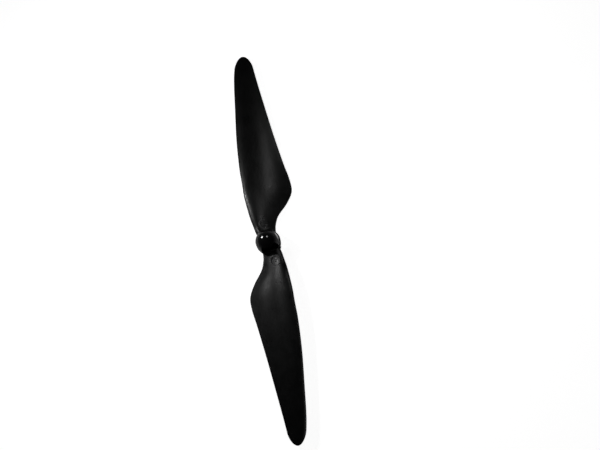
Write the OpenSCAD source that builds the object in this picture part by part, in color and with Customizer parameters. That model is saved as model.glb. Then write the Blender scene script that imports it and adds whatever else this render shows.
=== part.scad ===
// Two-bladed, counter-clockwise quadcopter propeller with a domed self-locking nut.
// Millimetres. The origin is the centre of the hub's seating face, +Z points up the shaft,
// and +X runs along the first blade from hub to tip. Seen from above it turns towards +Y.

/* [Blades] */
// Tip-to-tip diameter
prop_d = 239; // [225:1:255]
// Height of the blades' pitch axis above the seating face
blade_z = 4.0; // [3.7:0.1:4.3]
// Camber of the blade section away from its root, as a share of its chord
camber = 0.06; // [0.02:0.005:0.07]
// Thickness left at the trailing edge
edge_t = 0.5; // [0.4:0.05:0.8]

/* [Hub boss] */
// Diameter of the boss at its top rim
boss_d = 15; // [14.6:0.1:15.4]
// Diameter of the boss at its seating face, below the taper
boss_foot_d = 13.2; // [12.6:0.1:14]
// Height of the boss, which is also the length of the bush in it
boss_h = 7.4; // [7.2:0.1:7.8]
// Chamfer on the boss's top and bottom rims
boss_chamfer = 0.4; // [0.2:0.05:0.5]

/* [Shaft] */
// Diameter of the motor shaft that the hub slides over
shaft_d = 5; // [4.5:0.1:5]
// Pitch of the thread on the shaft's end
thread_pitch = 0.8; // [0.5:0.05:1]
// Radial clearance between the shaft and the bush's bore
shaft_clearance = 0.05; // [0.05:0.01:0.1]

/* [Lock nut] */
// Outside diameter of the dome and its skirt
dome_d = 14.2; // [13.6:0.1:14.6]
// Height of the skirt, below the hemisphere
skirt_h = 2.4; // [2.2:0.1:3]
// Width across the flats of the nut's brass core
core_af = 8; // [7.6:0.1:8.2]

/* [Moulded marks] */
// Height of the raised marks above the blade roots
mark_h = 0.4; // [0.2:0.05:0.5]
// Outside diameter of the ring mark on the second blade
ring_mark_d = 6.8; // [5:0.1:7]

/* [Resolution] */
// Sections along each blade, before its rounded tip
span_steps = 32; // [16:1:36]
// Points on each side of a blade section
chord_steps = 13; // [8:1:14]

/* [Hidden] */
$fn = 96;

prop_r = prop_d / 2;
boss_r = boss_d / 2;
foot_r = boss_foot_d / 2;
bore_r = shaft_d / 2 + shaft_clearance;
gap = 0.02;         // between pieces that are moulded or pressed together
run_gap = 0.05;     // between pieces that turn or slide on each other
eps = 0.1;          // how far a cutting shape runs past the face it cuts
mark_w = 0.6;       // width of the marks' lines
mark_sink = 1;      // how far the marks reach down into the blade's root
arrow_mark_r = 2.5;
dot_mark_r = 0.75;

// The blade's stations. Offsets run along the chord from the pitch axis, forwards for the
// leading edge and backwards for the trailing edge, as shares of the propeller's radius.
// [radius share, leading edge, trailing edge, pitch angle, thickness in mm]
STATIONS = [
    [0.030, 0.050, 0.040, 14.0, 5.6],
    [0.060, 0.061, 0.042, 15.6, 4.8],
    [0.085, 0.067, 0.046, 17.0, 3.9],
    [0.130, 0.078, 0.065, 18.5, 3.7],
    [0.190, 0.088, 0.118, 20.5, 3.4],
    [0.250, 0.095, 0.154, 21.5, 3.1],
    [0.310, 0.096, 0.153, 20.5, 2.8],
    [0.400, 0.098, 0.132, 17.8, 2.5],
    [0.550, 0.092, 0.103, 14.2, 2.1],
    [0.720, 0.077, 0.076, 11.6, 1.8],
    [0.880, 0.061, 0.053,  9.7, 1.5],
    [1.000, 0.039, 0.039,  8.5, 1.3],
];
LEAD = 1;
TRAIL = 2;
PITCH = 3;
THICK = 4;
root_s = STATIONS[0][0];
camber_full = 0.2;  // radius share from where the sections have their full camber
tip_start = 0.931;  // radius share where the tip starts to round off
tip_steps = 8;      // sections over the rounded tip
tip_last = 84;      // degrees round the tip's quarter ellipse at the last section

// Slope of column c at station i: the chord through its neighbours, or one-sided at the ends.
function slope(i, c) =
    let (a = max(i - 1, 0), b = min(i + 1, len(STATIONS) - 1))
    (STATIONS[b][c] - STATIONS[a][c]) / (STATIONS[b][0] - STATIONS[a][0]);

// Index of the stretch between two stations that holds radius share s.
function stretch(s, i = 0) =
    i >= len(STATIONS) - 2 || s <= STATIONS[i + 1][0] ? i : stretch(s, i + 1);

// Column c of the stations at radius share s, as a cubic curve through every station.
function at(s, c) =
    let (
        i = stretch(s),
        h = STATIONS[i + 1][0] - STATIONS[i][0],
        t = (s - STATIONS[i][0]) / h
    )
    (2 * t^3 - 3 * t^2 + 1) * STATIONS[i][c] + (t^3 - 2 * t^2 + t) * h * slope(i, c)
    + (3 * t^2 - 2 * t^3) * STATIONS[i + 1][c] + (t^3 - t^2) * h * slope(i + 1, c);

// How much of the chord is left at radius share s: all of it, up to the rounded tip.
function tip_round(s) =
    s <= tip_start ? 1 : sqrt(max(0, 1 - ((s - tip_start) / (1 - tip_start))^2));

// Camber at radius share s: none at the root, and all of it from camber_full outwards.
function camber_at(s) = camber * sin(90 * min(1, max(0, (s - root_s) / (camber_full - root_s))));

// Half thickness of a section at share u of its chord, for a full thickness of 1.
function half_thickness(u) =
    5 * (0.2969 * sqrt(u) - 0.1260 * u - 0.3516 * u^2 + 0.2843 * u^3 - 0.1036 * u^4);

// A point on a section: s along the blade, u along the chord, side +1 on top and -1 below.
function section_point(s, u, side) =
    let (
        keep = tip_round(s),
        middle = (at(s, LEAD) - at(s, TRAIL)) / 2 * prop_r,
        chord = (at(s, LEAD) + at(s, TRAIL)) * keep * prop_r,
        thick = at(s, THICK) * sqrt(keep),
        along = middle + chord * (0.5 - u),
        edge = min(edge_t, thick * 0.45) / 2,
        raise = 4 * camber_at(s) * chord * u * (1 - u),
        across = raise + side * max(thick * half_thickness(u), edge * min(1, u * 12)),
        pitch = at(s, PITCH)
    )
    [
        s * prop_r,
        along * cos(pitch) - across * sin(pitch),
        along * sin(pitch) + across * cos(pitch),
    ];

// Chord shares from the nose (0) to the trailing edge (1), closer together at the nose.
CHORD = [for (i = [0:chord_steps]) 1 - cos(90 * i / chord_steps)];

// One section as a closed loop: nose to trailing edge on top, then back to the nose below.
function section(s) = concat(
    [for (i = [0:chord_steps]) section_point(s, CHORD[i], 1)],
    [for (i = [chord_steps:-1:1]) section_point(s, CHORD[i], -1)]
);

// Radius shares of every section: even steps, then even angles round the tip's ellipse.
SPAN = concat(
    [for (i = [0:span_steps]) root_s + (tip_start - root_s) * i / span_steps],
    [for (i = [1:tip_steps]) tip_start + (1 - tip_start) * sin(tip_last * i / tip_steps)]
);

// A closed skin over a list of loops that all have the same number of points.
module loft(loops) {
    n = len(loops[0]);
    last = len(loops) - 1;
    polyhedron(
        points = [for (loop = loops) each loop],
        faces = concat(
            [[for (j = [0:n - 1]) j]],
            [for (i = [0:last - 1], j = [0:n - 1])
                let (k = (j + 1) % n)
                each [
                    [i * n + j, (i + 1) * n + j, (i + 1) * n + k],
                    [i * n + j, (i + 1) * n + k, i * n + k],
                ]],
            [[for (j = [n - 1:-1:0]) last * n + j]]
        )
    );
}

// One blade along +X, from inside the boss to its tip.
module blade() {
    translate([0, 0, blade_z]) loft([for (s = SPAN) section(s)]);
}

// Both blades, half a turn apart.
module blades() {
    for (turn = [0, 180]) rotate(turn) blade();
}

// The boss: a round bar, wider at the top, with both rims chamfered.
module boss() {
    c = boss_chamfer;
    rotate_extrude() polygon([
        [0, 0], [foot_r - c, 0], [foot_r, c],
        [boss_r, boss_h - c], [boss_r - c, boss_h], [0, boss_h],
    ]);
}

/* The hub bush: a turned brass tube with a hexagonal collar that the moulding grips. */
bush_r = 4.2;
collar_af = 10;
collar_z = 2.6;
collar_h = 2.2;

// The outside of the bush, grown by g all round for the pocket that holds it.
module bush_outline(g = 0) {
    translate([0, 0, -g]) cylinder(r = bush_r + g, h = boss_h + 2 * g);
    translate([0, 0, collar_z - g])
        cylinder(r = (collar_af / 2 + g) / cos(30), h = collar_h + 2 * g, $fn = 6);
}

module hub_bush() {
    color("goldenrod") difference() {
        bush_outline();
        translate([0, 0, -eps]) cylinder(r = bore_r, h = boss_h + 2 * eps);
    }
}

// Angle of a section's upper skin to the horizontal, at share u of its chord.
function skin_angle(s, u) =
    let (ahead = section_point(s, u - 0.05, 1), behind = section_point(s, u + 0.05, 1))
    atan2(ahead[2] - behind[2], ahead[1] - behind[1]);

// Places its children on the upper skin of the first blade's root: s along the blade, u along
// the chord, with +Z along the skin's normal.
module on_root(s, u) {
    translate(section_point(s, u, 1) + [0, 0, blade_z]) rotate([skin_angle(s, u), 0, 0]) children();
}

// A disc that stands mark_h proud of the face it is placed on, and reaches mark_sink below it.
module raised_dot(r) {
    translate([0, 0, -mark_sink]) cylinder(r = r, h = mark_sink + mark_h);
}

// A ring of the same height.
module raised_ring(r) {
    difference() {
        raised_dot(r);
        translate([0, 0, -mark_sink - eps])
            cylinder(r = r - mark_w, h = mark_sink + mark_h + 2 * eps);
    }
}

// A part ring with a triangular head: the way the nut turns to lock.
module raised_arrow(r) {
    sweep = 250;
    translate([0, 0, -mark_sink]) {
        rotate_extrude(angle = sweep) translate([r - mark_w, 0])
            square([mark_w, mark_sink + mark_h]);
        translate([r - mark_w / 2, 0, 0]) rotate(-90)
            cylinder(r = 2 * mark_w, h = mark_sink + mark_h, $fn = 3);
    }
}

// The marks: a turning arrow and a dot on the first blade, a ring round a dot on the second.
module marks() {
    on_root(0.098, 0.43) raised_arrow(arrow_mark_r);
    on_root(0.133, 0.40) raised_dot(dot_mark_r);
    rotate(180) {
        on_root(0.098, 0.34) raised_ring(ring_mark_d / 2);
        on_root(0.098, 0.34) raised_dot(dot_mark_r);
    }
}

/* The blade moulding: both blades and the boss, in one piece of glass-filled nylon. */
module blade_moulding() {
    room = 3;               // how far the cut for the nut reaches above the boss
    color([0.05, 0.05, 0.055]) difference() {
        union() {
            blades();
            boss();
            marks();
        }
        bush_outline(gap);
        translate([0, 0, boss_h]) cylinder(r = boss_r, h = room);
    }
}

/* The lock nut, from its washer up. Each level is a height above the seating face. */
dome_r = dome_d / 2;
washer_z = boss_h + gap;              // underside of the washer
pad_h = 0.9;                          // washer's lower step, which stands on the boss
pad_r = 4.9;
rim_h = 0.6;                          // washer's upper step, which the dome's skirt holds
rim_r = 5.4;
washer_hole_r = shaft_d / 2 + 0.25;
core_z = washer_z + pad_h + rim_h + run_gap;
flange_r = 5.3;
flange_h = 0.8;
core_h = 4.9;
thread_h = 3.5;
thread_r = (shaft_d - thread_pitch) / 2;
ring_h = 1.15;                        // height of the pocket for the locking ring
lip_r = 2.9;                          // rolled lip that keeps the locking ring in
pocket_r = 3.3;
skirt_z = boss_h + 0.2;               // lower edge of the dome's skirt
equator_z = skirt_z + skirt_h;
void_r = 2.8;
void_h = 0.9;                         // room for the shaft's end above the core

// A stepped washer. It turns freely in the skirt's bore, and can't drop out of it.
module thrust_washer() {
    color("lightgrey") difference() {
        union() {
            translate([0, 0, washer_z]) cylinder(r = pad_r, h = pad_h);
            translate([0, 0, washer_z + pad_h]) cylinder(r = rim_r, h = rim_h);
        }
        translate([0, 0, washer_z - eps]) cylinder(r = washer_hole_r, h = pad_h + rim_h + 2 * eps);
    }
}

// The outside of the brass core, grown by g all round for the socket in the dome.
module core_outline(g = 0) {
    translate([0, 0, core_z]) {
        cylinder(r = (core_af / 2 + g) / cos(30), h = core_h + g, $fn = 6);
        cylinder(r = flange_r + g, h = flange_h + g);
    }
}

// The tapped brass core. Its hole is at the thread's core diameter, with a lead-in below.
module nut_core() {
    chamfer = 0.4;
    color("goldenrod") difference() {
        core_outline();
        translate([0, 0, core_z - eps]) cylinder(r = thread_r, h = thread_h + 2 * eps);
        translate([0, 0, core_z - eps])
            cylinder(r1 = thread_r + chamfer + eps, r2 = thread_r, h = chamfer + eps);
        translate([0, 0, core_z + thread_h]) cylinder(r = pocket_r, h = ring_h);
        translate([0, 0, core_z + thread_h]) cylinder(r = lip_r, h = core_h - thread_h + eps);
    }
}

// A nylon ring, a little tighter than the shaft, which grips the thread.
module locking_ring() {
    squeeze = 0.13;
    color("white") translate([0, 0, core_z + thread_h + gap]) difference() {
        cylinder(r = pocket_r - gap, h = ring_h - 2 * gap);
        translate([0, 0, -eps]) cylinder(r = shaft_d / 2 - squeeze, h = ring_h + 2 * eps);
    }
}

// The moulded dome. Inside, from its lower edge up: a bead under the washer's rim, a bore for
// the rim and the core's flange, a hexagonal socket for the core and a void for the shaft's end.
module dome_shell() {
    rim = 0.3;
    bead_top = washer_z + pad_h - run_gap;
    color([0.02, 0.02, 0.022]) difference() {
        union() {
            translate([0, 0, skirt_z]) rotate_extrude()
                polygon([[0, 0], [dome_r - rim, 0], [dome_r, rim], [dome_r, skirt_h], [0, skirt_h]]);
            intersection() {
                translate([0, 0, equator_z]) sphere(r = dome_r);
                translate([0, 0, equator_z - gap]) cylinder(r = dome_r + eps, h = dome_r + 1);
            }
        }
        translate([0, 0, skirt_z - eps])
            cylinder(r = pad_r + run_gap, h = bead_top - skirt_z + 2 * eps);
        translate([0, 0, bead_top])
            cylinder(r = rim_r + run_gap, h = core_z + flange_h + gap - bead_top);
        core_outline(gap);
        translate([0, 0, core_z + core_h]) cylinder(r = void_r, h = void_h);
    }
}

blade_moulding();
hub_bush();
thrust_washer();
dome_shell();
nut_core();
locking_ring();
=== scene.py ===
import math

import bmesh
import bpy
import numpy as np
from mathutils import Matrix, Vector


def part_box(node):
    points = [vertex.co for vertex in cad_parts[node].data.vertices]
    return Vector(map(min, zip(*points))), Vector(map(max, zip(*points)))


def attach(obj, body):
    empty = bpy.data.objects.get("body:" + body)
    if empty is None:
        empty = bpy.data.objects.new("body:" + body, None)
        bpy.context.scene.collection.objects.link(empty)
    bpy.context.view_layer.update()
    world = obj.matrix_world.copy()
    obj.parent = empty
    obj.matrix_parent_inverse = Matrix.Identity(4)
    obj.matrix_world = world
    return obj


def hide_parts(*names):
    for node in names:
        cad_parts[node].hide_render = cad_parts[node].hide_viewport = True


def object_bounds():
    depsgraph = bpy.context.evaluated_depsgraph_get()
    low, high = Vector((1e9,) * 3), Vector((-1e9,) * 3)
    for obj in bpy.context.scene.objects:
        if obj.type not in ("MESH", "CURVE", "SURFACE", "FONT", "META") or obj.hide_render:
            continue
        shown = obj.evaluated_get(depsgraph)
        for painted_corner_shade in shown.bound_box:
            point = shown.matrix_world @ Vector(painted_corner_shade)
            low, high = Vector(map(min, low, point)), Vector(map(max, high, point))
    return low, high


# A two-bladed propeller with a domed lock nut, over a pale floor. Lengths are in metres.
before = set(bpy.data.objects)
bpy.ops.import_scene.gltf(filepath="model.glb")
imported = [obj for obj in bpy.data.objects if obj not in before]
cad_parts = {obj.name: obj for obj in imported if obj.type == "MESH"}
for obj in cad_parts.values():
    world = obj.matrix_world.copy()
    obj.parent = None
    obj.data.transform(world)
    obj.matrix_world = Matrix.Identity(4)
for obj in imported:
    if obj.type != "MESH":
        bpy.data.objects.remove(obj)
cad_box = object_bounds()

MM = 0.001

# ---------------------------------------------------------------- sizes
# From the frame: what the CAD nodes say.
TIP_R = cad_box[1].x                                # hub axis to blade tip
BOSS_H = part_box("hub_bush")[1].z                    # the bush is as long as the boss is high
DOME_LOW, DOME_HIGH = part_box("dome_shell")
DOME_R = DOME_HIGH.x
WASHER_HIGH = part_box("thrust_washer")[1]
CORE_LOW, CORE_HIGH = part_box("nut_core")

# The moulding's own sizes. GAP, RUN_GAP and the blade's numbers are the CAD's too.
BLADE_Z = 4.0 * MM                                  # height of the blades' pitch axis
BOSS_R = 7.5 * MM                                   # the boss at its top rim
FOOT_R = 6.6 * MM                                   # the boss at its seating face
BOSS_ROUND = 0.5 * MM                               # rounding of the boss's rims
ROUND_STEPS = 160                                   # faces round the boss and round the dome
ROOT_FILLET = 1.2 * MM                              # fillet between a blade and the boss
ROOT_SPAN = (0.056, 0.094)                          # radius shares on either side of that fillet
CAMBER = 0.06                                       # of the chord, away from the root
CAMBER_FULL = 0.2                                   # radius share where the camber is all there
EDGE_T = 0.5 * MM                                   # thickness at the trailing edge
TIP_START = 0.931                                   # radius share where the tip starts to round
CHORD_POINTS = 30                                   # points on each side of a blade section
GAP = 0.02 * MM                                     # between pieces moulded or pressed together
RUN_GAP = 0.05 * MM                                 # between pieces that turn on each other
WELD = 0.001 * MM                                   # points closer than this become one

# The blade's stations, as the CAD has them: radius share, leading edge and trailing edge from
# the pitch axis (shares of the radius), pitch angle in degrees, thickness in millimetres.
STATIONS = np.array([
    [0.030, 0.050, 0.040, 14.0, 5.6],
    [0.060, 0.061, 0.042, 15.6, 4.8],
    [0.085, 0.067, 0.046, 17.0, 3.9],
    [0.130, 0.078, 0.065, 18.5, 3.7],
    [0.190, 0.088, 0.118, 20.5, 3.4],
    [0.250, 0.095, 0.154, 21.5, 3.1],
    [0.310, 0.096, 0.153, 20.5, 2.8],
    [0.400, 0.098, 0.132, 17.8, 2.5],
    [0.550, 0.092, 0.103, 14.2, 2.1],
    [0.720, 0.077, 0.076, 11.6, 1.8],
    [0.880, 0.061, 0.053, 9.7, 1.5],
    [1.000, 0.039, 0.039, 8.5, 1.3],
])
LEAD, TRAIL, PITCH, THICK = 1, 2, 3, 4

# The marks on the blade roots. Their places are shares of the radius and of the chord.
MARK_H = 0.4 * MM           # height above the skin
MARK_W = 0.6 * MM           # width of a line
MARK_SINK = 1.0 * MM        # how far the marks reach down into the root
MARK_DRAFT = 0.3 * MM       # how far the sides of the marks slope outwards
ARROW_R, ARROW_AT = 2.5 * MM, (0.098, 0.43)
RING_R, RING_AT = 3.4 * MM, (0.098, 0.34)
DOT_R, DOT_AT = 0.75 * MM, (0.133, 0.40)


# ---------------------------------------------------------------- mesh helpers
def new_object(name, verts, faces):
    """A mesh object in the scene, from points and faces."""
    mesh = bpy.data.meshes.new(name)
    mesh.from_pydata([tuple(v) for v in verts], [], faces)
    mesh.update()
    obj = bpy.data.objects.new(name, mesh)
    bpy.context.scene.collection.objects.link(obj)
    return obj


def face_outwards(obj):
    """Turns every face's normal outwards."""
    bm = bmesh.new()
    bm.from_mesh(obj.data)
    bmesh.ops.recalc_face_normals(bm, faces=bm.faces)
    bm.to_mesh(obj.data)
    bm.free()
    return obj


def bands(rows, cols, wrap=True):
    """Quads between neighbouring rows of a grid of points, and round each row if it wraps."""
    last = cols if wrap else cols - 1
    return [
        (i * cols + j, i * cols + k, (i + 1) * cols + k, (i + 1) * cols + j)
        for i in range(rows - 1)
        for j, k in ((j, (j + 1) % cols) for j in range(last))
    ]


def loft(name, loops):
    """A closed skin over loops of points that all have the same length."""
    rows, cols = len(loops), len(loops[0])
    first, last = range(cols), range((rows - 1) * cols, rows * cols)
    faces = bands(rows, cols) + [tuple(first), tuple(reversed(last))]
    return face_outwards(new_object(name, np.concatenate(loops), faces))


def lathe(name, profile, steps, degrees=360):
    """A whole or part turn about Z of a closed (radius, height) profile that is off the axis."""
    whole = degrees == 360
    angles = np.linspace(0, math.radians(degrees), steps, endpoint=not whole)
    loops = [[(r * math.cos(a), r * math.sin(a), z) for r, z in profile] for a in angles]
    if not whole:
        return loft(name, loops)
    cols = len(profile)
    faces = bands(steps, cols)
    end = (steps - 1) * cols
    faces += [(end + j, end + (j + 1) % cols, (j + 1) % cols, j) for j in range(cols)]
    return face_outwards(new_object(name, np.concatenate(loops), faces))


def bar(name, profile, steps):
    """A solid of revolution about Z whose profile runs from the axis out and back to it."""
    angles = np.linspace(0, 2 * math.pi, steps, endpoint=False)
    ring = profile[1:-1]
    verts = [(0, 0, profile[0][1])]
    verts += [(r * math.cos(a), r * math.sin(a), z) for r, z in ring for a in angles]
    verts.append((0, 0, profile[-1][1]))
    faces = [tuple(1 + k for k in f) for f in bands(len(ring), steps)]
    top = 1 + (len(ring) - 1) * steps
    faces += [(0, 1 + (j + 1) % steps, 1 + j) for j in range(steps)]
    faces += [(len(verts) - 1, top + j, top + (j + 1) % steps) for j in range(steps)]
    return face_outwards(new_object(name, verts, faces))


def rod(name, r, low, high, steps):
    """An upright cylinder."""
    return bar(name, [(0, low), (r, low), (r, high), (0, high)], steps)


def arc(cx, cz, r, start, end, steps=6):
    """Points along an arc in a (radius, height) profile, in degrees."""
    return [
        (cx + r * math.cos(math.radians(a)), cz + r * math.sin(math.radians(a)))
        for a in np.linspace(start, end, steps)
    ]


def prism(name, sides, r, low, high):
    """An upright prism with a corner on +X."""
    turn = 2 * math.pi / sides
    loops = [
        np.array([(r * math.cos(i * turn), r * math.sin(i * turn), z) for i in range(sides)])
        for z in (low, high)
    ]
    return loft(name, loops)


def weld(obj):
    """Joins points that a boolean left almost on top of each other."""
    bm = bmesh.new()
    bm.from_mesh(obj.data)
    bmesh.ops.remove_doubles(bm, verts=bm.verts, dist=WELD)
    bmesh.ops.dissolve_degenerate(bm, edges=bm.edges, dist=WELD)
    bm.to_mesh(obj.data)
    bm.free()
    return obj


def combine(target, tool, operation):
    """Applies a boolean with another object to the target, and removes that object."""
    mod = target.modifiers.new("combine", "BOOLEAN")
    mod.object = tool
    mod.operation = operation
    mod.solver = "EXACT"
    graph = bpy.context.evaluated_depsgraph_get()
    mesh = bpy.data.meshes.new_from_object(target.evaluated_get(graph))
    target.modifiers.clear()
    target.data = mesh
    bpy.data.objects.remove(tool)
    return weld(target)


def smooth(obj):
    """Smooth shading, with edges of more than 35 degrees kept sharp."""
    obj.data.shade_smooth()
    obj.data.set_sharp_from_angle(angle=math.radians(35))
    return obj


# ---------------------------------------------------------------- the blades
def at(s, column):
    """A column of the stations at radius shares s, as a cubic curve through every station."""
    x, y = STATIONS[:, 0], STATIONS[:, column]
    before = np.maximum(np.arange(len(x)) - 1, 0)
    after = np.minimum(np.arange(len(x)) + 1, len(x) - 1)
    slope = (y[after] - y[before]) / (x[after] - x[before])
    i = np.clip(np.searchsorted(x, s) - 1, 0, len(x) - 2)
    h = x[i + 1] - x[i]
    t = (s - x[i]) / h
    return (
        (2 * t**3 - 3 * t**2 + 1) * y[i]
        + (t**3 - 2 * t**2 + t) * h * slope[i]
        + (3 * t**2 - 2 * t**3) * y[i + 1]
        + (t**3 - t**2) * h * slope[i + 1]
    )


def half_thickness(u):
    """Half thickness of a section at shares u of its chord, for a full thickness of 1."""
    return 5 * (0.2969 * np.sqrt(u) - 0.1260 * u - 0.3516 * u**2 + 0.2843 * u**3 - 0.1036 * u**4)


def section_points(s, u, side):
    """Points on a blade's section at radius share s: u along the chord, side 1 on top."""
    beyond = max(0, (s - TIP_START) / (1 - TIP_START))
    keep = math.sqrt(max(0, 1 - beyond**2))
    lead, trail, pitch, thick = (at(s, c) for c in (LEAD, TRAIL, PITCH, THICK))
    chord = (lead + trail) * keep * TIP_R
    thick = thick * MM * math.sqrt(keep)
    edge = min(EDGE_T, thick * 0.45) / 2
    along = (lead - trail) / 2 * TIP_R + chord * (0.5 - u)
    ramp = min(1, max(0, (s - STATIONS[0, 0]) / (CAMBER_FULL - STATIONS[0, 0])))
    camber = CAMBER * math.sin(math.pi / 2 * ramp)
    rise = 4 * camber * chord * u * (1 - u)
    across = rise + side * np.maximum(thick * half_thickness(u), edge * np.minimum(1, u * 12))
    turn = math.radians(pitch)
    return np.stack([
        np.full(len(u), s * TIP_R),
        along * math.cos(turn) - across * math.sin(turn),
        along * math.sin(turn) + across * math.cos(turn) + BLADE_Z,
    ], axis=1)


def boss_wall(z):
    """The boss's radius at a height, or at several."""
    return FOOT_R + (BOSS_R - FOOT_R) * np.clip(z / BOSS_H, 0, 1)


def root_fillet(loop):
    """Swells a section outwards near the boss, so that it runs into the boss's wall in a fillet."""
    middle = np.roll(loop, 1, axis=0) - np.roll(loop, -1, axis=0)
    out = np.stack([np.zeros(len(loop)), -middle[:, 2], middle[:, 1]], axis=1)
    out /= np.maximum(np.linalg.norm(out, axis=1, keepdims=True), 1e-12)
    if np.mean(np.sum(out * (loop - loop.mean(0)), axis=1)) < 0:
        out = -out
    away = np.hypot(loop[:, 0], loop[:, 1]) - boss_wall(loop[:, 2])
    d = np.clip(away, 0, ROOT_FILLET)
    swell = ROOT_FILLET - np.sqrt(ROOT_FILLET**2 - (ROOT_FILLET - d) ** 2)
    room = np.clip((BOSS_H - BOSS_ROUND - loop[:, 2]) / ROOT_FILLET, 0.05, 1)
    return loop + out * (swell * room)[:, None]


def blade(name):
    """One blade along +X, from inside the boss to its tip. Its sections are closest together
    where it meets the boss."""
    u = 1 - np.cos(np.linspace(0, math.pi / 2, CHORD_POINTS))
    tip_angles = np.radians(np.linspace(0, 88.5, 22)[1:])
    spans = np.concatenate([
        np.arange(STATIONS[0, 0], ROOT_SPAN[0], 0.005),
        np.arange(*ROOT_SPAN, 0.0015),
        np.linspace(ROOT_SPAN[1], TIP_START, 110),
        TIP_START + (1 - TIP_START) * np.sin(tip_angles),
    ])
    loops = []
    for s in spans:
        top = section_points(s, u, 1)
        below = section_points(s, u[:0:-1], -1)
        loops.append(root_fillet(np.concatenate([top, below])))
    return loft(name, loops)


# ---------------------------------------------------------------- the marks
def place_on_root(obj, place, blade_turn):
    """Moves a mark from the origin to a blade root's upper skin, and onto its blade."""
    s, u = place
    ahead, spot, behind = section_points(s, np.array([u - 0.05, u, u + 0.05]), 1)
    lie = Matrix.Rotation(math.atan2(ahead[2] - behind[2], ahead[1] - behind[1]), 4, "X")
    onto = Matrix.Rotation(blade_turn, 4, "Z") @ Matrix.Translation(Vector(spot)) @ lie
    obj.data.transform(onto)
    return obj


def mark_profile(r_in, r_out):
    """The section of a raised line between two radii, with sloping sides."""
    return [
        (r_in - MARK_DRAFT, -MARK_SINK), (r_out + MARK_DRAFT, -MARK_SINK),
        (r_out + MARK_DRAFT, 0), (r_out, MARK_H), (r_in, MARK_H), (r_in - MARK_DRAFT, 0),
    ]


def dot_mark(name):
    """A small raised disc."""
    base = DOT_R + MARK_DRAFT
    profile = [(0, -MARK_SINK), (base, -MARK_SINK), (base, 0), (DOT_R, MARK_H), (0, MARK_H)]
    return bar(name, profile, 48)


def ring_mark(name):
    """A raised ring."""
    return lathe(name, mark_profile(RING_R - MARK_W, RING_R), 72)


def arrow_mark(name):
    """A raised part ring with a triangular head, which shows the way the nut turns to lock."""
    line = lathe(name, mark_profile(ARROW_R - MARK_W, ARROW_R), 56, 250)
    head = prism("arrow_head", 3, 2 * MARK_W, -MARK_SINK, MARK_H)
    middle = Matrix.Translation((ARROW_R - MARK_W / 2, 0, 0))
    head.data.transform(middle @ Matrix.Rotation(-math.pi / 2, 4, "Z"))
    return combine(line, head, "UNION")


# ---------------------------------------------------------------- the pieces
def boss():
    """The boss, wider at the top, with rounded rims."""
    k = BOSS_ROUND
    profile = [(0, 0)]
    profile += arc(FOOT_R - k, k, k, -90, 0)
    profile += arc(BOSS_R - k, BOSS_H - k, k, 0, 90)
    profile.append((0, BOSS_H))
    return bar("boss", profile, ROUND_STEPS)


def bush_room():
    """The room that the bush takes in the boss, with its hexagonal collar."""
    corner_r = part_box("hub_bush")[1].x
    bush_r = 4.2 * MM
    collar_low, collar_high = 2.6 * MM, 4.8 * MM
    reach = 1 * MM
    room = rod("bush_room", bush_r + GAP, -reach, BOSS_H + reach, 96)
    collar = prism("collar_room", 6, corner_r + GAP, collar_low - GAP, collar_high + GAP)
    return combine(room, collar, "UNION")


def blade_moulding():
    """Both blades, the boss and the marks, as one moulding."""
    piece = boss()
    piece.name = "blades_and_boss"
    for turn in (0, math.pi):
        one = blade("blade")
        one.data.transform(Matrix.Rotation(turn, 4, "Z"))
        combine(piece, one, "UNION")
    combine(piece, place_on_root(arrow_mark("arrow"), ARROW_AT, 0), "UNION")
    combine(piece, place_on_root(dot_mark("dot"), DOT_AT, 0), "UNION")
    combine(piece, place_on_root(ring_mark("ring"), RING_AT, math.pi), "UNION")
    combine(piece, place_on_root(dot_mark("ring_dot"), RING_AT, math.pi), "UNION")
    top = BOSS_H + 3 * MM
    nut_room = bar("nut_room", [
        (0, BOSS_H), (BOSS_R - BOSS_ROUND, BOSS_H), (BOSS_R, BOSS_H + BOSS_ROUND),
        (BOSS_R, top), (0, top),
    ], ROUND_STEPS)
    combine(piece, nut_room, "DIFFERENCE")
    combine(piece, bush_room(), "DIFFERENCE")
    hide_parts("blade_moulding")
    return smooth(piece)


def dome():
    """The nut's dome, hollow inside as the CAD has it."""
    equator = DOME_HIGH.z - DOME_R
    low = DOME_LOW.z
    rim, lead_in = 0.3 * MM, 0.2 * MM           # roundings of the lower edge, outside and inside
    washer_pad_r, washer_rim_h, flange_h = 4.9 * MM, 0.6 * MM, 0.8 * MM
    bead_r = washer_pad_r + RUN_GAP
    bead_top = WASHER_HIGH.z - washer_rim_h - RUN_GAP
    bore_r = WASHER_HIGH.x + RUN_GAP
    flange_top = CORE_LOW.z + flange_h + GAP
    profile = [(0, flange_top), (bore_r, flange_top), (bore_r, bead_top), (bead_r, bead_top)]
    profile += [(bead_r, low + lead_in), (bead_r + lead_in, low)]
    profile += arc(DOME_R - rim, low + rim, rim, -90, 0)
    profile += arc(0, equator, DOME_R, 0, 90, 40)[:-1]
    profile.append((0, DOME_HIGH.z))
    piece = bar("dome", profile, ROUND_STEPS)
    across_flats = 8 * MM
    corner_r = (across_flats / 2 + GAP) / math.cos(math.pi / 6)
    socket = prism("socket", 6, corner_r, flange_top - 0.5 * MM, CORE_HIGH.z + GAP)
    combine(piece, socket, "DIFFERENCE")
    void_r, void_h = 2.8 * MM, 0.9 * MM
    void = rod("void", void_r, CORE_HIGH.z - void_h, CORE_HIGH.z + void_h, 64)
    combine(piece, void, "DIFFERENCE")
    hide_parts("dome_shell")
    return smooth(piece)


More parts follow.
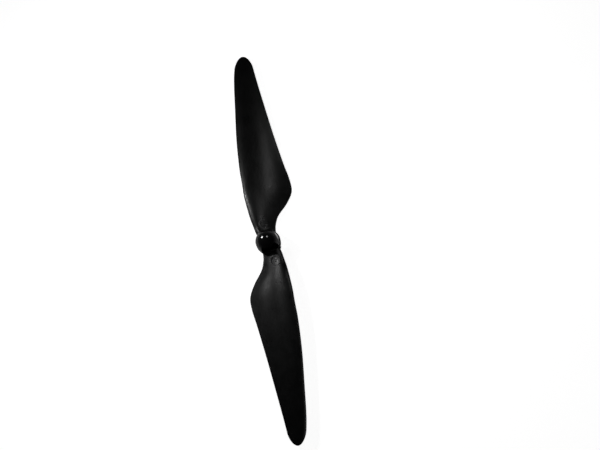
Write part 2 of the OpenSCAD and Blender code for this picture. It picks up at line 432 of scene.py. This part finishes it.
def soften(node):
    """Welds a CAD node's faces together and rounds its edges a little, as modifiers."""
    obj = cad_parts[node]
    join = obj.modifiers.new("weld", "WELD")
    join.merge_threshold = 0.002 * MM
    bevel = obj.modifiers.new("bevel", "BEVEL")
    bevel.width = 0.08 * MM
    bevel.segments = 2
    bevel.limit_method = "ANGLE"
    bevel.angle_limit = math.radians(40)
    bevel.harden_normals = True
    obj.data.shade_smooth()
    return obj


# ---------------------------------------------------------------- materials
def material(name):
    """An empty node material, its Principled node and a function that adds nodes to it."""
    made = bpy.data.materials.new(name)
    made.use_nodes = True
    tree = made.node_tree
    shader = tree.nodes["Principled BSDF"]

    def add(kind, inputs=None, **settings):
        node = tree.nodes.new(kind)
        for key, value in settings.items():
            setattr(node, key, value)
        for key, value in (inputs or {}).items():
            if isinstance(value, bpy.types.NodeSocket):
                tree.links.new(value, node.inputs[key])
            else:
                node.inputs[key].default_value = value
        return node

    return made, tree, shader, add


def wire(tree, shader, base, rough, bump):
    """Gives a material's shader its colour, its roughness and its bumps."""
    tree.links.new(base, shader.inputs["Base Color"])
    tree.links.new(rough, shader.inputs["Roughness"])
    tree.links.new(bump.outputs["Normal"], shader.inputs["Normal"])


def calculate(add, operation, first, second=0.0):
    """A sum, product or other result of one or two values."""
    return add("ShaderNodeMath", {0: first, 1: second}, operation=operation).outputs["Value"]


def scaled(add, scale, turn=0.0):
    """Object coordinates, stretched by scale along each axis, in features per metre."""
    where = add("ShaderNodeTexCoord")
    mapping = add("ShaderNodeMapping", {"Vector": where.outputs["Object"], "Scale": scale,
                                        "Rotation": (0, 0, turn)})
    return mapping.outputs["Vector"]


def noise(add, vector, scale, detail=3.0):
    """A grey noise from 0 to 1."""
    node = add("ShaderNodeTexNoise", {"Vector": vector, "Scale": scale, "Detail": detail})
    return node.outputs["Fac"]


def spread(add, value, low, high, to_low, to_high):
    """Maps a value from one range to another, clamped."""
    return add("ShaderNodeMapRange", {"Value": value, "From Min": low, "From Max": high,
                                      "To Min": to_low, "To Max": to_high}).outputs["Result"]


def blend_colours(add, factor, first, second):
    """A colour between two, by a factor."""
    mix = add("ShaderNodeMix", data_type="RGBA")
    for key, value in (("Factor", factor), ("A", first), ("B", second)):
        socket = [i for i in mix.inputs if i.name == key and i.enabled][0]
        if isinstance(value, bpy.types.NodeSocket):
            mix.id_data.links.new(value, socket)
        else:
            socket.default_value = (*value, 1)
    return [o for o in mix.outputs if o.enabled][0]


def edge_factor(add, radius, strength):
    """Near 1 on sharp edges, where a worn piece shines or a painted highlight goes, and 0
    elsewhere.
    """
    rounded = add("ShaderNodeBevel", {"Radius": radius}, samples=4)
    plain = add("ShaderNodeNewGeometry")
    same = add("ShaderNodeVectorMath", {0: rounded.outputs["Normal"], 1: plain.outputs["Normal"]},
               operation="DOT_PRODUCT")
    return spread(add, same.outputs["Value"], 1 - strength, 1, 1, 0)


def near_marks(add):
    """1 round the marks on the blade roots, and 0 elsewhere."""
    apart = add("ShaderNodeSeparateXYZ", {"Vector": add("ShaderNodeTexCoord").outputs["Object"]})
    out, side = (calculate(add, "ABSOLUTE", apart.outputs[axis]) for axis in "XY")
    off_boss = spread(add, out, 8.1 * MM, 8.3 * MM, 0, 1)
    at_root = spread(add, out, 17.0 * MM, 17.4 * MM, 1, 0)
    off_edges = spread(add, side, 7.2 * MM, 7.6 * MM, 1, 0)
    return calculate(add, "MULTIPLY", calculate(add, "MULTIPLY", off_boss, at_root), off_edges)


def blade_plastic():
    """Satin black glass-filled nylon: fine grain, faint streaks along the flow, worn edges, and
    marks with a painted highlight on their edges, and painted shade in their corners, where their
    shine is lowered."""
    made, tree, shader, add = material("blade_plastic")
    metres = scaled(add, (1, 1, 1))
    along = scaled(add, (0.12, 1, 1))
    grain = noise(add, metres, 1100, 4)
    mottle = noise(add, metres, 160, 3)
    streak = noise(add, along, 900, 2)
    worn = edge_factor(add, 0.35 * MM, 0.25)
    base = blend_colours(add, mottle, (0.0014, 0.0014, 0.0015), (0.0028, 0.0028, 0.003))
    base = blend_colours(add, spread(add, streak, 0.45, 0.8, 0, 0.5), base, (0.005, 0.005, 0.0053))
    base = blend_colours(add, spread(add, worn, 0, 1, 0, 0.6), base, (0.03, 0.03, 0.031))
    near = near_marks(add)
    # Painted highlight: the edges round the marks are painted light grey.
    painted_mark_highlight = calculate(add, "MULTIPLY", edge_factor(add, 0.3 * MM, 0.08), near)
    base = blend_colours(add, painted_mark_highlight, base, (0.17, 0.17, 0.172))
    # Painted shade: ambient occlusion lowers the shine in the hidden corners round the marks.
    open_sky = add("ShaderNodeAmbientOcclusion", {"Distance": 0.9 * MM}, samples=16,
                   only_local=True)
    painted_corner_shade = spread(add, open_sky.outputs["AO"], 0.60, 0.90, 1, 0)
    shine = spread(add, calculate(add, "MULTIPLY", painted_corner_shade, near), 0, 1, 0.5, 0)
    tree.links.new(shine, shader.inputs["Specular IOR Level"])
    rough = calculate(add, "ADD", spread(add, grain, 0.3, 0.7, 0.29, 0.39),
                      spread(add, mottle, 0.3, 0.7, -0.03, 0.03))
    fine = add("ShaderNodeBump", {"Height": grain, "Strength": 0.5, "Distance": 0.04 * MM})
    wide = add("ShaderNodeBump", {"Height": mottle, "Strength": 0.4, "Distance": 0.05 * MM,
                                  "Normal": fine.outputs["Normal"]})
    wire(tree, shader, base, rough, wide)
    return made


def dome_plastic():
    """Polished black plastic with a hint of moulding ripple, hairline scratches and smears."""
    made, tree, shader, add = material("dome_plastic")
    metres = scaled(add, (1, 1, 1))
    scratch_way = scaled(add, (0.06, 1, 1), 0.7)
    smear = noise(add, metres, 220, 3)
    scratch = noise(add, scratch_way, 5200, 2)
    ripple = noise(add, metres, 330, 1)
    base = blend_colours(add, smear, (0.003, 0.003, 0.003), (0.006, 0.006, 0.0065))
    rough = calculate(add, "ADD", spread(add, smear, 0.35, 0.75, 0.07, 0.13),
                      spread(add, scratch, 0.62, 0.78, 0, 0.12))
    bump = add("ShaderNodeBump", {"Height": ripple, "Strength": 0.25, "Distance": 0.02 * MM})
    wire(tree, shader, base, rough, bump)
    return made


def turned_metal(name, light, dark, rough_low, rough_high):
    """Metal with the fine concentric lines of a lathe, and a little tarnish."""
    made, tree, shader, add = material(name)
    where = add("ShaderNodeTexCoord")
    apart = add("ShaderNodeSeparateXYZ", {"Vector": where.outputs["Object"]})
    flat = add("ShaderNodeCombineXYZ", {"X": apart.outputs["X"], "Y": apart.outputs["Y"]})
    radius = add("ShaderNodeVectorMath", {0: flat.outputs["Vector"]}, operation="LENGTH")
    rings = add("ShaderNodeCombineXYZ", {"X": radius.outputs["Value"], "Y": apart.outputs["Z"]})
    line = noise(add, rings.outputs["Vector"], 9000, 2)
    tarnish = noise(add, where.outputs["Object"], 420, 4)
    worn = edge_factor(add, 0.15 * MM, 0.3)
    base = blend_colours(add, spread(add, tarnish, 0.4, 0.8, 0, 1), light, dark)
    bright = tuple(1.15 * c for c in light)
    base = blend_colours(add, spread(add, worn, 0, 1, 0, 0.5), base, bright)
    bump = add("ShaderNodeBump", {"Height": line, "Strength": 0.5, "Distance": 0.01 * MM})
    wire(tree, shader, base, spread(add, line, 0.3, 0.7, rough_low, rough_high), bump)
    shader.inputs["Metallic"].default_value = 1
    return made


def ring_nylon():
    """Natural nylon: off-white, a little cloudy and slightly see-through."""
    made, tree, shader, add = material("ring_nylon")
    metres = scaled(add, (1, 1, 1))
    cloud = noise(add, metres, 500, 3)
    base = blend_colours(add, cloud, (0.80, 0.78, 0.69), (0.88, 0.87, 0.80))
    bump = add("ShaderNodeBump", {"Height": noise(add, metres, 3500, 2), "Strength": 0.2,
                                  "Distance": 0.01 * MM})
    wire(tree, shader, base, spread(add, cloud, 0.3, 0.7, 0.38, 0.52), bump)
    shader.inputs["Subsurface Weight"].default_value = 0.3
    shader.inputs["Subsurface Radius"].default_value = (0.6, 0.55, 0.45)
    shader.inputs["Subsurface Scale"].default_value = 1 * MM
    return made


def paint(obj, made):
    """Gives an object one material."""
    obj.data.materials.clear()
    obj.data.materials.append(made)


# ---------------------------------------------------------------- camera
VIEW_TILT = math.radians(13.14)         # between the spin axis and the line of sight
VIEW_SIDE = math.radians(-148.82)       # the side of the hub that the camera stands to
PICTURE_UP = math.radians(-8.52)        # the way in the blades' plane that is up in the picture
VIEW_DISTANCE = 534.5 * MM
AIM = Vector((7.5, -20.0, 4.0)) * MM    # the point at the picture's middle
LENS, SENSOR = 53.6, 36                 # in millimetres, as Blender has them


def make_camera():
    """The scene's camera, above the hub and to one side of it. Returns its right, up and back."""
    towards = Vector((
        math.sin(VIEW_TILT) * math.cos(VIEW_SIDE),
        math.sin(VIEW_TILT) * math.sin(VIEW_SIDE),
        math.cos(VIEW_TILT),
    ))
    up_hint = Vector((math.cos(PICTURE_UP), math.sin(PICTURE_UP), 0))
    right = up_hint.cross(towards).normalized()
    up = towards.cross(right)
    data = bpy.data.cameras.new("camera")
    data.lens = LENS
    data.sensor_width = SENSOR
    data.clip_start = 0.01
    camera = bpy.data.objects.new("camera", data)
    bpy.context.scene.collection.objects.link(camera)
    turn = Matrix((right, up, towards)).transposed().to_4x4()
    camera.matrix_world = Matrix.Translation(AIM + towards * VIEW_DISTANCE) @ turn
    bpy.context.scene.camera = camera
    return right, up, towards


# ---------------------------------------------------------------- stage and lights
FLOOR_SEEN = 0.9            # brightness of the floor to the camera, before the lights add to it
FLOOR_GLOW = 0.05           # what the floor gives to the pieces
SKY_SEEN = 1.0              # brightness of the surround to the camera
SKY_DIM = 0.008             # overhead, as the pieces see it
SKY_EDGE = 0.10             # at the horizon, as the pieces see it
SKY_EDGE_TOP = 0.45         # sine of the elevation where the horizon's glow ends

# Softboxes, placed from the line of sight through the hub: degrees from it, degrees round it
# from the picture's right, distance and width in metres, and the irradiance at the hub. The
# catch lights are the reflections in the dome, and light nothing else.
SOFTBOXES = [
    ("left_softbox", 49, 154, 0.20, 0.03, 0.78),
    ("low_left_softbox", 74, 177, 0.20, 0.03, 0.20),
    ("far_right_softbox", 31, 351, 1.80, 0.30, 0.15),
    ("right_softbox", 53, 57, 0.21, 0.04, 0.10),
    ("upper_right_softbox", 25, 60, 0.21, 0.08, 0.12),
]
CATCH_LIGHTS = [
    ("left_catch", 67, 142, 0.40, 0.10, 1.8),
    ("back_catch", 48, 94, 0.40, 0.08, 0.26),
    ("low_right_catch", 117, 32, 0.020, 0.012, 0.50),
]


def make_floor():
    """A pale floor under the propeller, paler to the camera than to the pieces."""
    reach = 3.0
    corners = ((-reach, -reach), (reach, -reach), (reach, reach), (-reach, reach))
    floor = new_object("floor", [(x, y, cad_box[0].z) for x, y in corners], [(0, 1, 2, 3)])
    made, tree, shader, add = material("floor")
    mottle = noise(add, scaled(add, (1, 1, 1)), 40, 3)
    base = blend_colours(add, mottle, (0.80, 0.80, 0.80), (0.84, 0.84, 0.84))
    path = add("ShaderNodeLightPath")
    seen = spread(add, path.outputs["Is Camera Ray"], 0, 1, FLOOR_GLOW, FLOOR_SEEN)
    tree.links.new(base, shader.inputs["Base Color"])
    tree.links.new(seen, shader.inputs["Emission Strength"])
    shader.inputs["Emission Color"].default_value = (1, 1, 1, 1)
    shader.inputs["Roughness"].default_value = 0.8
    floor.data.materials.append(made)
    return floor


def make_dark_card(right, up):
    """A curved black card beside the hub, low on the camera's side. It is hidden from the camera,
    and its reflection darkens the dome's lower right."""
    floor_z = cad_box[0].z + 0.2 * MM
    profile = ((9 * MM, floor_z), (12 * MM, floor_z), (20 * MM, 20 * MM))
    angles = np.radians(np.linspace(232, 348, 24))
    verts = []
    for radius, height in profile:
        for a in angles:
            aside = right * math.cos(a) + up * math.sin(a)
            flat = Vector((aside.x, aside.y, 0)).normalized() * radius
            verts.append((flat.x, flat.y, height))
    card = new_object("dark_card", verts, bands(len(profile), len(angles), wrap=False))
    made, tree, shader, add = material("dark_card")
    shader.inputs["Base Color"].default_value = (0.002, 0.002, 0.002, 1)
    shader.inputs["Specular IOR Level"].default_value = 0
    card.data.materials.append(made)
    card.visible_camera = False
    card.visible_shadow = False


def make_world():
    """A pale surround to the camera. To the pieces it is dark overhead and paler at the horizon."""
    world = bpy.data.worlds.new("surround")
    bpy.context.scene.world = world
    world.use_nodes = True
    tree = world.node_tree
    where = tree.nodes.new("ShaderNodeTexCoord")
    apart = tree.nodes.new("ShaderNodeSeparateXYZ")
    edge = tree.nodes.new("ShaderNodeMapRange")
    edge.interpolation_type = "SMOOTHSTEP"
    edge.inputs["From Max"].default_value = SKY_EDGE_TOP
    edge.inputs["To Min"].default_value = SKY_EDGE
    edge.inputs["To Max"].default_value = SKY_DIM
    path = tree.nodes.new("ShaderNodeLightPath")
    choice = tree.nodes.new("ShaderNodeMapRange")
    choice.inputs["To Max"].default_value = SKY_SEEN
    back = tree.nodes["Background"]
    back.inputs["Color"].default_value = (1, 1, 1, 1)
    tree.links.new(where.outputs["Generated"], apart.inputs["Vector"])
    tree.links.new(apart.outputs["Z"], edge.inputs["Value"])
    tree.links.new(path.outputs["Is Camera Ray"], choice.inputs["Value"])
    tree.links.new(edge.outputs["Result"], choice.inputs["To Min"])
    tree.links.new(choice.outputs["Result"], back.inputs["Strength"])


def make_lights(lights, lit, right, up, towards):
    """Round area lights that face the hub and light only the objects given."""
    group = bpy.data.collections.new("lit_by_" + lights[0][0])
    for obj in lit:
        group.objects.link(obj)
    for name, tilt, turn, distance, width, irradiance in lights:
        tilt, turn = math.radians(tilt), math.radians(turn)
        aside = right * math.cos(turn) + up * math.sin(turn)
        way = aside * math.sin(tilt) + towards * math.cos(tilt)
        data = bpy.data.lights.new(name, "AREA")
        data.shape = "DISK"
        data.size = width
        data.energy = irradiance * math.pi * distance**2
        light = bpy.data.objects.new(name, data)
        bpy.context.scene.collection.objects.link(light)
        place = Matrix.Translation(way * distance + Vector((0, 0, BOSS_H)))
        light.matrix_world = place @ way.to_track_quat("Z", "Y").to_matrix().to_4x4()
        light.visible_camera = False
        light.light_linking.receiver_collection = group


# ---------------------------------------------------------------- the scene
moulding = blade_moulding()
paint(moulding, blade_plastic())
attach(moulding, "propeller")

cap = dome()
paint(cap, dome_plastic())
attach(cap, "lock_nut")

BRASS = ((0.80, 0.60, 0.30), (0.52, 0.36, 0.16))    # clean and tarnished
STEEL = ((0.62, 0.62, 0.64), (0.42, 0.41, 0.40))
paint(soften("hub_bush"), turned_metal("bush_brass", *BRASS, 0.24, 0.40))
paint(soften("nut_core"), turned_metal("core_brass", *BRASS, 0.20, 0.34))
paint(soften("thrust_washer"), turned_metal("washer_steel", *STEEL, 0.22, 0.38))
paint(soften("locking_ring"), ring_nylon())

floor = make_floor()
make_world()
right, up, towards = make_camera()
make_dark_card(right, up)
inner = [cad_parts[node] for node in ("hub_bush", "nut_core", "thrust_washer", "locking_ring")]
make_lights(SOFTBOXES, [moulding, floor, *inner], right, up, towards)
make_lights(CATCH_LIGHTS, [cap], right, up, towards)
bpy.context.scene.view_settings.view_transform = "Standard"
